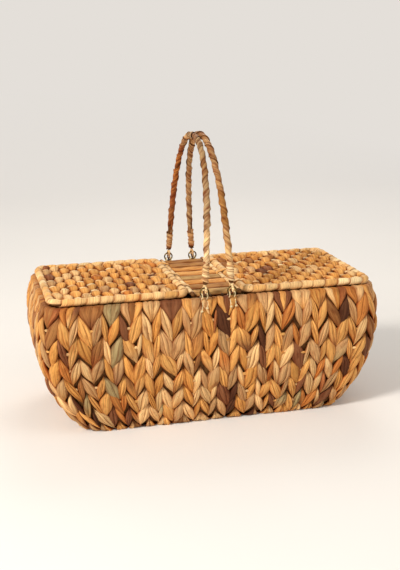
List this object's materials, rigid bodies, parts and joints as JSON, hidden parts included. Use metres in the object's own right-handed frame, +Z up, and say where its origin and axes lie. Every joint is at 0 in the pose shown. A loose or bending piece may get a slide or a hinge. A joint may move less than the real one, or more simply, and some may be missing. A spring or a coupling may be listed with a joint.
{
  "type": "picnic basket",
  "caption": "Deep rounded-rectangle woven basket with a hinged lid on each side of a fixed middle panel and wrapped bail handles that fold outwards.",
  "frame": {"origin": "on the floor under the middle of the basket's base", "axes": "+X along the basket's length to the right-hand lid, +Y from the front to the back, +Z up"},
  "size_m": [0.4738, 0.2336, 0.3894],
  "materials": {
    "woven_straw": "matte",
    "pale_wrap": "matte",
    "brown_wrap": "matte",
    "flat_slat": "matte",
    "twine": "matte",
    "frame_wire": "satin",
    "ring_wire": "satin"
  },
  "bodies": {
    "basket": {"woven_body": "woven_straw", "rim_wire": "frame_wire", "base_wire": "frame_wire", "cross_rib_1": "frame_wire", "cross_rib_2": "frame_wire", "cross_rib_3": "frame_wire", "cross_rib_4": "frame_wire", "cross_rib_5": "frame_wire", "long_rib_front": "frame_wire", "long_rib_back": "frame_wire", "panel_rod_left": "pale_wrap", "panel_rod_right": "pale_wrap", "panel_slat_1": "flat_slat", "panel_slat_2": "flat_slat", "panel_slat_3": "flat_slat", "panel_slat_4": "flat_slat", "panel_slat_5": "flat_slat", "panel_slat_6": "flat_slat", "panel_slat_7": "flat_slat", "panel_slat_8": "flat_slat", "panel_wire_left": "frame_wire", "panel_wire_right": "frame_wire", "handle_ring_front_left": "ring_wire", "handle_ring_back_left": "ring_wire", "handle_ring_front_right": "ring_wire", "handle_ring_back_right": "ring_wire", "ring_tie_front_left_outer": "twine", "ring_tie_front_left_inner": "twine", "ring_tie_back_left_outer": "twine", "ring_tie_back_left_inner": "twine", "ring_tie_front_right_outer": "twine", "ring_tie_front_right_inner": "twine", "ring_tie_back_right_outer": "twine", "ring_tie_back_right_inner": "twine"},
    "left_lid": {"left_lid_frame": "pale_wrap", "left_lid_weave": "woven_straw", "left_lid_wire_1": "frame_wire", "left_lid_wire_2": "frame_wire", "left_lid_hinge_1": "brown_wrap", "left_lid_hinge_2": "brown_wrap", "left_lid_hinge_3": "brown_wrap"},
    "right_lid": {"right_lid_frame": "pale_wrap", "right_lid_weave": "woven_straw", "right_lid_wire_1": "frame_wire", "right_lid_wire_2": "frame_wire", "right_lid_hinge_1": "brown_wrap", "right_lid_hinge_2": "brown_wrap", "right_lid_hinge_3": "brown_wrap"},
    "left_handle": {"left_handle_core": "frame_wire", "left_handle_wrap": "brown_wrap", "left_handle_binding_front": "pale_wrap", "left_handle_binding_back": "pale_wrap"},
    "right_handle": {"right_handle_core": "frame_wire", "right_handle_wrap": "brown_wrap", "right_handle_binding_front": "pale_wrap", "right_handle_binding_back": "pale_wrap"}
  },
  "joints": [
    {"name": "left_lid_hinge", "type": "hinge", "parent": "basket", "child": "left_lid", "pos_m": [-0.032, 0, 0.1837], "axis": [0, 1, 0], "range_deg": [0, 93]},
    {"name": "right_lid_hinge", "type": "hinge", "parent": "basket", "child": "right_lid", "pos_m": [0.032, 0, 0.1837], "axis": [0, -1, 0], "range_deg": [0, 93]},
    {"name": "left_handle_swing", "type": "hinge", "parent": "basket", "child": "left_handle", "pos_m": [-0.019, 0, 0.1849], "axis": [0, -1, 0], "range_deg": [0, 82]},
    {"name": "right_handle_swing", "type": "hinge", "parent": "basket", "child": "right_handle", "pos_m": [0.019, 0, 0.1849], "axis": [0, 1, 0], "range_deg": [0, 82]}
  ]
}
